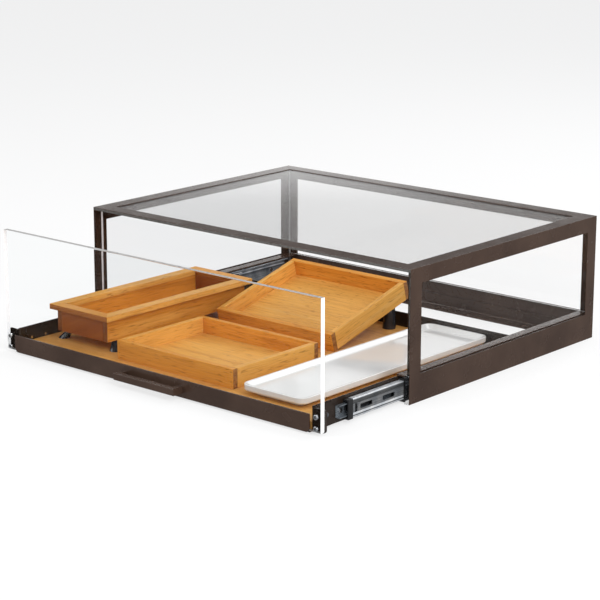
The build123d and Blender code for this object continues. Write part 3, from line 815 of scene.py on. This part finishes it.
# ---- Case ----
@dataclass
class Case:
    """The bronze bands and the clear panes that they are bonded to."""

    lip: float = 0.004
    rebate: float = 0.0117
    rebate_foot: float = 0.0426
    arris: float = 0.00025

    def build(self) -> None:
        """Make the panes and coat the metal."""
        for side in (LEFT, RIGHT):
            self.side_pane(side)
        # The roof pane's edges take painted shade, the rear pane's a painted mid tone with a faint
        # painted glow.
        self.flat_pane("top_pane", "Z", EDGE_DARK)
        self.flat_pane("rear_pane", "Y", EDGE_GREY)
        coat_nodes(BRONZE, *both("side_frame"), *both("side_ledge"), "rear_frame",
                   "rear_base_angle")
        coat_nodes(ROOF_BRONZE_PAINTED_SHEEN, "top_frame")

    def side_pane(self, side: str) -> None:
        """Make a side pane, full thickness but for the rebate along its upper front edge.

        Args:
            side: Left or right.
        """
        low, high = corners(f"side_pane_{side}")
        inward, outer = (1.0, low.x) if side == LEFT else (-1.0, high.x)
        inner = outer + inward * self.lip
        stock = Stock().block(Vector((min(outer, inner), low.y, low.z)),
                              Vector((max(outer, inner), high.y, high.z)))
        stock.score(Vector((0, low.y + self.rebate, 0)), Vector((0, 1, 0)))
        stock.score(Vector((0, 0, self.rebate_foot)), Vector((0, 0, 1)))
        stock.bm.normal_update()
        thick = [f for f in stock.bm.faces if f.normal.x * inward > ASIDE
                 and (f.calc_center_median().y > low.y + self.rebate
                      or f.calc_center_median().z < self.rebate_foot)]
        stock.pull(thick, Vector((inward * (high.x - low.x - self.lip), 0, 0)))
        bmesh.ops.delete(stock.bm, geom=thick, context="FACES")
        stock.settle()
        stock.soften(self.arris, 1)
        stock.paint(1, lambda f: abs(f.normal.x) < ASIDE)
        stock.paint(0, lambda f: f.normal.y < -ASIDE
                    and f.calc_center_median().y < low.y + self.lip)
        # The left pane's front edge takes a painted highlight and glow, the right pane's a painted
        # shade.
        acrylic, edge = (LEFT_ACRYLIC_PAINTED_SHADE, EDGE_ROSE) if side == LEFT else (RIGHT_ACRYLIC, EDGE_DARK)
        stock.piece(f"case_side_pane_{side}", [acrylic, edge], "case", "clear_acrylic",
                    f"side_pane_{side}")

    def flat_pane(self, node: str, axis: str, edge: AcrylicEdge) -> None:
        """Make a flat pane with scraped edges.

        Args:
            node: The node that it stands for.
            axis: The axis that it faces along.
            edge: The finish of its edges.
        """
        stock = Stock().block(*corners(node)).soften(self.arris, 1)
        broad = facing(axis, ASIDE)
        stock.paint(1, lambda f: not broad(f))
        stock.piece(f"case_{node}", [CASE_ACRYLIC, edge], "case", "clear_acrylic", node)


# ---- Slides ----
@dataclass
class Slides:
    """The telescopic slides, with their stops, buffers, balls and screws."""

    def build(self) -> None:
        """Coat each part of both slides."""
        coat_nodes(ZINC, *both("drawer_member"), *both("outer_ball_cage"),
                   *both("inner_ball_cage"))
        coat_nodes(MIDDLE_ZINC, *both("middle_member"))
        coat_nodes(CABINET_ZINC, *both("cabinet_member"))
        coat_nodes(BALL_STEEL, *both("outer_balls"), *both("inner_balls"))
        coat_nodes(SCREW_STEEL, *both("cabinet_screws"), *both("drawer_member_screws"))
        coat_nodes(BLACK_PLASTIC, *both("slide_stop"), *both("slide_buffer"),
                   *both("release_lever"))


# ---- Drawer ----
@dataclass
class Drawer:
    """The pan, its board, the clear front panel with its fixings, and the pull handle."""

    hole: float = 0.00225
    hole_points: int = 24
    screw_inset: float = 0.0081
    screw_height: float = 0.0189
    screw_spacing: float = 0.0167
    arris: float = 0.0004
    board_round: float = 0.0008

    def build(self) -> None:
        """Make the panel and the board, and coat the rest."""
        self.panel()
        self.board()
        coat_nodes(BRONZE, "front_rail", "pull_handle")
        coat_nodes(PAN_BRONZE_PAINTED_SHADE, "drawer_pan", *both("panel_bracket"))
        coat_nodes(SCREW_STEEL, *both("bracket_rivets"), "panel_screws", "panel_nuts",
                   "handle_screws")
        coat_nodes(BLACK_RUBBER, "closing_bumpers")

    def panel(self) -> None:
        """Make the front panel, drilled for its four screws."""
        low, high = corners("front_panel")
        stock = Stock()
        bm = stock.bm
        size, centre = high - low, (low + high) / 2
        sheet = bmesh.ops.create_grid(bm, x_segments=1, y_segments=1, size=0.5,
                                      matrix=Matrix.Diagonal((size.x, size.z, 1.0, 1.0)))
        bmesh.ops.delete(bm, geom=sheet["verts"][0].link_faces[:], context="FACES_ONLY")
        across = size.x / 2 - self.screw_inset
        middle = self.screw_height - centre.z
        for x in (-across, across):
            for rise in (-self.screw_spacing / 2, self.screw_spacing / 2):
                bmesh.ops.create_circle(bm, segments=self.hole_points, radius=self.hole,
                                        matrix=Matrix.Translation((x, middle + rise, 0.0)))
        bmesh.ops.triangle_fill(bm, use_beauty=True, edges=bm.edges[:])
        stock.pull(bm.faces[:], Vector((0, 0, size.y)))
        stock.settle()
        stock.move(Matrix.Translation((centre.x, high.y, centre.z))
                   @ Matrix.Rotation(QUARTER_TURN, 4, "X"))
        rim = [e for e in stock.sharp_edges() if e.calc_length() > 4 * self.hole
               or all(abs(v.co.x) > high.x - self.arris for v in e.verts)]
        stock.soften(self.arris, 2, rim)
        stock.paint(1, lambda f: abs(f.normal.x) > ASIDE
                    and abs(f.calc_center_median().x) > high.x - self.hole)
        stock.paint(2, lambda f: abs(f.normal.z) > ASIDE and f.calc_area() > size.x * self.arris)
        # The panel's side edges take the painted highlight and glow, its top and bottom the
        # painted mid tone.
        stock.piece("clear_front_panel", [ACRYLIC, EDGE_WHITE, EDGE_GREY], "drawer",
                    "clear_acrylic", "front_panel")

    def board(self) -> None:
        """Make the board that the ware stands on."""
        stock = Stock().block(*corners("drawer_board")).soften(self.board_round)
        stock.paint(1, facing("X")).piece("ware_board", [BOARD_TIMBER, END_GRAIN], "drawer",
                                          "board_wood", "drawer_board")


# ---- Wooden ware ----
@dataclass
class Tray:
    """A wooden tray: front and back boards across its full width, side boards between them."""

    name: str
    width: float
    depth: float
    place: Vector
    tilt: float = 0.0
    height: float = 0.030
    wall: float = 0.009
    floor: float = 0.005
    round: float = 0.0007
    nail: float = 0.0009
    nail_taper: float = 0.8
    nail_points: int = 12
    nail_arris: float = 0.00018
    nail_rises: tuple[float, float] = (0.011, 0.025)

    def build(self) -> None:
        """Make the walls, the floor and the nails."""
        self.walls()
        self.bottom()
        self.nails()

    def to_place(self) -> Matrix:
        """From the tray's own frame, with its left front lower corner at the origin."""
        return Matrix.Translation(self.place) @ Matrix.Rotation(self.tilt, 4, "X")

    def timber(self, part: str, grain: Grain, **tones: object) -> Timber:
        """Timber for one part of the tray.

        Args:
            part: What it is for.
            grain: The way that its grain runs.
            **tones: Colours that differ from the usual ones.

        Returns:
            The finish.
        """
        shift = (len(self.name) * 0.37, len(part) * 0.53, 0.11)
        return Timber(f"{self.name}_{part}_timber", grain, self.tilt, shift, **tones)

    def walls(self) -> None:
        """Make the four boards round the tray."""
        stock = Stock()
        for y in (0.0, self.depth - self.wall):
            board = Stock().block(Vector((0, y, 0)),
                                  Vector((self.width, y + self.wall, self.height)))
            stock.join(board.soften(self.round).paint(2, facing("X")))
        for x in (0.0, self.width - self.wall):
            board = Stock().block(Vector((x, self.wall, 0)),
                                  Vector((x + self.wall, self.depth - self.wall, self.height)))
            stock.join(board.soften(self.round).paint(1, lambda f: True).paint(2, facing("Y")))
        # The front and back boards take darker, redder tones than the side boards: painted shade.
        finishes = [self.timber("front_boards", Grain.ACROSS, pale=(0.92, 0.49, 0.11),
                                honey=(0.85, 0.38, 0.060), brown=(0.66, 0.25, 0.034)),
                    self.timber("side_boards", Grain.BACK), END_GRAIN]
        stock.move(self.to_place()).piece(f"{self.name}_boards", finishes, self.name,
                                          "tray_wood", f"{self.name}_walls")

    def bottom(self) -> None:
        """Make the floor board."""
        stock = Stock().block(Vector((self.wall, self.wall, 0)),
                              Vector((self.width - self.wall, self.depth - self.wall, self.floor)))
        stock.soften(self.round).move(self.to_place()).piece(
            f"{self.name}_bottom", [self.timber("floor", Grain.ACROSS)], self.name, "tray_wood",
            f"{self.name}_floor")

    def nails(self) -> None:
        """Make the heads of the nails that hold the front board, just proud of it."""
        stock = Stock()
        for x in (self.wall / 2, self.width - self.wall / 2):
            for z in self.nail_rises:
                head = Stock()
                place = Matrix.Translation((x, self.nail / 4, z))
                bmesh.ops.create_cone(head.bm, cap_ends=True, segments=self.nail_points,
                                      radius1=self.nail, radius2=self.nail * self.nail_taper,
                                      depth=self.nail,
                                      matrix=place @ Matrix.Rotation(QUARTER_TURN, 4, "X"))
                stock.join(head.soften(self.nail_arris, 1))
        stock.move(self.to_place()).piece(f"{self.name}_nails", [NAIL_STEEL], self.name,
                                          "screw_steel")


@dataclass
class DisplayBox:
    """The raised box: four boards, a floor, a mitred rim that overhangs them, and splayed feet."""

    wall: float = 0.010
    floor: float = 0.006
    round: float = 0.0008
    foot: float = 0.009
    foot_top: float = 0.0055
    foot_inset: tuple[float, float] = (0.006, 0.022)
    foot_splay: float = 0.008
    foot_flare: float = 0.35
    foot_points: int = 40
    foot_roundness: float = 0.999
    rim_end_on: float = 0.8

    def build(self) -> None:
        """Make the box's pieces."""
        self.body()
        self.bottom()
        self.rim()
        self.feet()

    def body(self) -> None:
        """Make the boards: the side boards run the full depth, the ends stand between them."""
        low, high = corners("display_box_body")
        stock = Stock()
        for x in (low.x, high.x - self.wall):
            board = Stock().block(Vector((x, low.y, low.z)),
                                  Vector((x + self.wall, high.y, high.z)))
            stock.join(board.soften(self.round).paint(2, facing("Y")))
        for y in (low.y, high.y - self.wall):
            board = Stock().block(Vector((low.x + self.wall, y, low.z)),
                                  Vector((high.x - self.wall, y + self.wall, high.z)))
            stock.join(board.soften(self.round).paint(1, lambda f: True))
        # The side boards are darker than the rim's sides, and the end boards and the ends of the
        # side boards much darker still: painted shade.
        finishes = [
            Timber("box_side_timber_painted_shade", Grain.BACK, shift=(0.3, 0.2, 0.7), pale=(0.84, 0.41, 0.080),
                   honey=(0.72, 0.30, 0.040), brown=(0.50, 0.175, 0.018)),
            Timber("box_end_timber_painted_shade", Grain.ASLANT, shift=(0.9, 0.4, 0.2),
                   pale=(0.42, 0.135, 0.022), honey=(0.30, 0.085, 0.012),
                   brown=(0.17, 0.040, 0.005), figure=60.0),
            Timber("box_edge_timber_painted_shade", Grain.ACROSS, pale=(0.34, 0.125, 0.035),
                   honey=(0.26, 0.09, 0.022), brown=(0.18, 0.055, 0.012))]
        stock.piece("display_box_boards", finishes, "display_box", "tray_wood",
                    "display_box_body")

    def bottom(self) -> None:
        """Make the floor board."""
        stock = Stock().block(*corners("display_box_floor")).soften(self.round)
        stock.piece("display_box_bottom", [Timber("box_floor_timber", Grain.BACK)],
                    "display_box", "tray_wood", "display_box_floor")

    def rim(self) -> None:
        """Make the rim, of four boards mitred at the corners."""
        low, high = corners("display_box_rim")
        width = corners("display_box_body")[0].x - low.x + self.wall
        stock = Stock()
        for y, outer, inward in ((low.y, low.y, 1.0), (high.y - width, high.y, -1.0)):
            board = Stock().block(Vector((low.x, y, low.z)), Vector((high.x, y + width, high.z)))
            board.saw(Vector((low.x, outer, 0)), Vector((-1, inward, 0)))
            board.saw(Vector((high.x, outer, 0)), Vector((1, inward, 0)))
            stock.join(board.soften(self.round).paint(2, facing("Y", self.rim_end_on)))
        for x, outer, inward in ((low.x, low.x, 1.0), (high.x - width, high.x, -1.0)):
            board = Stock().block(Vector((x, low.y, low.z)), Vector((x + width, high.y, high.z)))
            board.saw(Vector((outer, low.y, 0)), Vector((inward, -1, 0)))
            board.saw(Vector((outer, high.y, 0)), Vector((inward, 1, 0)))
            stock.join(board.soften(self.round).paint(1, lambda f: True))
        # The rim faces that look along Y take much darker tones than its top: painted shade.
        finishes = [Timber("rim_end_timber", Grain.ACROSS, shift=(0.5, 0.9, 0.1),
                           pale=(0.90, 0.50, 0.13), honey=(0.80, 0.38, 0.075),
                           brown=(0.58, 0.22, 0.035)),
                    Timber("rim_side_timber", Grain.BACK, shift=(0.1, 0.6, 0.3)),
                    Timber("rim_front_timber_painted_shade", Grain.ACROSS, shift=(0.2, 0.4, 0.8),
                           pale=(0.50, 0.185, 0.032), honey=(0.36, 0.120, 0.017),
                           brown=(0.22, 0.062, 0.008))]
        stock.piece("display_box_rim_boards", finishes, "display_box", "tray_wood",
                    "display_box_rim")

    def feet(self) -> None:
        """Make the feet, which flare as they lean out to the board."""
        low, high = corners("display_box_body")
        ground = corners("display_box_feet")[0].z
        slim = self.foot_top + (self.foot - self.foot_top) * self.foot_flare
        stock = Stock()
        in_x, in_y = self.foot_inset
        for x, out_x in ((low.x + in_x, -1.0), (high.x - in_x, 1.0)):
            for y, out_y in ((low.y + in_y, -1.0), (high.y - in_y, 1.0)):
                foot = Stock()
                top = Vector((x, y, low.z))
                base = Vector((x + out_x * self.foot_splay, y + out_y * self.foot_splay, ground))
                waist = (top + base) / 2
                rings = [foot.ring(r, r, r * self.foot_roundness, p, self.foot_points)
                         for r, p in ((self.foot, base), (slim, waist), (self.foot_top, top))]
                stock.join(foot.skin(rings).soften(self.round))
        stock.piece("display_box_splayed_feet", [BLACK_RUBBER], "display_box", "black_rubber",
                    "display_box_feet")


# ---- Platter ----
@dataclass
class Platter:
    """The white platter: a shallow dish with a flat rim on a narrow foot."""

    corner: float = 0.015
    foot_inset: float = 0.014
    foot_corner: float = 0.008
    foot_height: float = 0.006
    foot_round: float = 0.0010
    under_round: float = 0.0038
    rim: float = 0.0035
    rim_round: float = 0.0014
    rim_fall: float = 0.0003
    floor_inset: float = 0.011
    floor_corner: float = 0.007
    floor_height: float = 0.0105
    floor_round: float = 0.0022
    points: int = 72
    segments: int = 5

    def build(self) -> None:
        """Make the platter."""
        low, high = corners("serving_platter")
        half, middle = (high - low) / 2, (low + high) / 2
        top = high.z - low.z
        outline = [(self.foot_inset, self.foot_corner, 0.0, self.foot_round),
                   (self.foot_inset, self.foot_corner, self.foot_height, 0.0),
                   (0.0, self.corner, self.foot_height, self.under_round),
                   (0.0, self.corner, top, self.rim_round),
                   (self.rim, self.corner - self.rim, top - self.rim_fall, self.rim_round),
                   (self.floor_inset, self.floor_corner, self.floor_height, self.floor_round)]
        stock = Stock()
        rings = [stock.ring(half.x - inset, half.y - inset, corner,
                            Vector((middle.x, middle.y, low.z + rise)), self.points)
                 for inset, corner, rise, _ in outline]
        stock.skin(rings)
        for ring, (_, _, _, width) in zip(rings, outline):
            if width:
                stock.soften(width, self.segments, ring)
        stock.piece("white_platter", [WHITE_GLAZE], "platter", "white_glaze", "serving_platter")


# ---- The studio ----
@dataclass
class Studio:
    """A pale floor, soft lamps, a white surround and the camera."""

    camera_place: Triple = (1.966, -2.253, 0.8549)
    camera_azimuth: float = math.radians(41.07)
    camera_drop: float = math.radians(14.63)
    lens: float = 117.74
    sensor: float = 36.0
    clip: tuple[float, float] = (0.05, 100.0)
    lamps: tuple[tuple[str, Triple, float, float], ...] = (
        ("key_lamp", (2.2, -0.9, 1.6), 40.0, 1.4),
        ("fill_lamp", (-1.6, -2.0, 1.3), 20.0, 1.8),
        ("back_lamp", (0.4, 2.0, 2.2), 26.0, 1.6))
    lamp_aim: Triple = (0.0, 0.0, 0.1)
    floor_half: float = 30.0
    floor_glow: float = 0.70
    floor_bounce: float = 0.50
    floor_mirrored: float = 0.35
    floor_shade: Colour = (0.30, 0.30, 0.30)
    ambient: float = 0.55
    ambient_tone: Colour = (0.97, 0.98, 1.0)
    mirrored: float = 1.5
    horizon: tuple[tuple[float, float], ...] = (
        (0.180, 1.0), (0.194, 0.45), (0.204, 0.16), (0.218, 0.06))

    def build(self) -> None:
        """Make the floor, the lamps, the world and the camera."""
        self.floor()
        self.world()
        for lamp in self.lamps:
            self.lamp(*lamp)
        self.camera()

    def camera(self) -> None:
        """Place the camera and make it the scene's."""
        data = bpy.data.cameras.new("camera")
        data.lens = self.lens
        data.sensor_width = self.sensor
        data.sensor_fit = "HORIZONTAL"
        data.clip_start, data.clip_end = self.clip
        made = bpy.data.objects.new("camera", data)
        made.location = self.camera_place
        made.rotation_euler = (QUARTER_TURN - self.camera_drop, 0.0, self.camera_azimuth)
        bpy.context.scene.collection.objects.link(made)
        bpy.context.scene.camera = made

    def lamp(self, name: str, place: Triple, power: float, size: float) -> None:
        """Hang a soft square lamp that faces the middle of the object.

        Args:
            name: The lamp's name.
            place: Where it hangs.
            power: Its power in watts.
            size: Its side in metres.
        """
        data = bpy.data.lights.new(name, "AREA")
        data.energy = power
        data.size = size
        made = bpy.data.objects.new(name, data)
        made.location = place
        way = Vector(self.lamp_aim) - Vector(place)
        made.rotation_euler = way.to_track_quat("-Z", "Y").to_euler()
        bpy.context.scene.collection.objects.link(made)

    def floor(self) -> None:
        """Lay a wide floor that looks white, takes the shadow and is dim in reflections."""
        bm = bmesh.new()
        bmesh.ops.create_grid(bm, x_segments=1, y_segments=1, size=self.floor_half)
        mesh = bpy.data.meshes.new("floor")
        bm.to_mesh(mesh)
        bm.free()
        made = bpy.data.objects.new("floor", mesh)
        bpy.context.scene.collection.objects.link(made)
        coat = Coat("floor_white")
        coat.values(coat.shader, Base_Color=(*self.floor_shade, 1.0), Roughness=0.9,
                    Specular_IOR_Level=0.0, Emission_Color=(*WHITE, 1.0))
        rays = coat.node("ShaderNodeLightPath").outputs
        glow = coat.values(coat.node("ShaderNodeMix", data_type="FLOAT"),
                           A=self.floor_bounce, B=self.floor_glow)
        coat.wire(coat.combine("MAXIMUM", rays["Is Camera Ray"], rays["Is Transmission Ray"]),
                  glow.inputs["Factor"])
        coat.wire(glow.outputs["Result"], coat.shader.inputs["Emission Strength"])
        dim = coat.values(coat.node("ShaderNodeEmission"), Strength=self.floor_mirrored)
        mirror = coat.combine("MULTIPLY", rays["Is Glossy Ray"], rays["Is Reflection Ray"])
        coat.wire(coat.choose(mirror, coat.shader.outputs["BSDF"], dim.outputs["Emission"]),
                  coat.output.inputs["Surface"])
        mesh.materials.append(coat.material)

    def world(self) -> None:
        """Surround the object with even light, white behind it and dim high up in reflections."""
        world = bpy.data.worlds.new("surround")
        bpy.context.scene.world = world
        world.use_nodes = True
        sky = Recipe(world.node_tree)
        output = sky.node("ShaderNodeOutputWorld")
        light = sky.values(sky.node("ShaderNodeBackground"), Color=(*self.ambient_tone, 1.0),
                           Strength=self.ambient)
        white = sky.values(sky.node("ShaderNodeBackground"), Color=(*WHITE, 1.0))
        dim = sky.values(sky.node("ShaderNodeBackground"), Strength=self.mirrored)
        way = sky.node("ShaderNodeTexCoord").outputs["Generated"]
        fade = sky.ramp(sky.height(way, 1.0), [(z, (level,) * 3) for z, level in self.horizon])
        sky.wire(fade, dim.inputs["Color"])
        rays = sky.node("ShaderNodeLightPath").outputs
        lit = sky.choose(rays["Is Glossy Ray"], light.outputs[0], dim.outputs[0])
        seen = sky.combine("MAXIMUM", rays["Is Camera Ray"], rays["Is Transmission Ray"])
        sky.wire(sky.choose(seen, lit, white.outputs[0]), output.inputs["Surface"])


def trays() -> list[Tray]:
    """The two trays, set down where their CAD solids stand."""
    low, high = corners("front_tray_walls")
    front = Tray("front_tray", high.x - low.x, high.y - low.y, low)
    low, high = corners("rear_tray_walls")
    foot = Vector((low.x, low.y + front.height * math.sin(REAR_TRAY_TILT), low.z))
    return [front, Tray("rear_tray", high.x - low.x, REAR_TRAY_DEPTH, foot, REAR_TRAY_TILT)]


def main() -> None:
    """Build and dress the object, light it and report each piece."""
    logging.basicConfig(level=logging.INFO, format="%(message)s")
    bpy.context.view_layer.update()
    bpy.context.scene.view_settings.view_transform = "Standard"
    for part in (Case(), Slides(), Drawer(), *trays(), DisplayBox(), Platter(), Studio()):
        part.build()
    coat_nodes(BLACK_RUBBER, "rear_tray_feet")


if __name__ == "__main__":
    main()
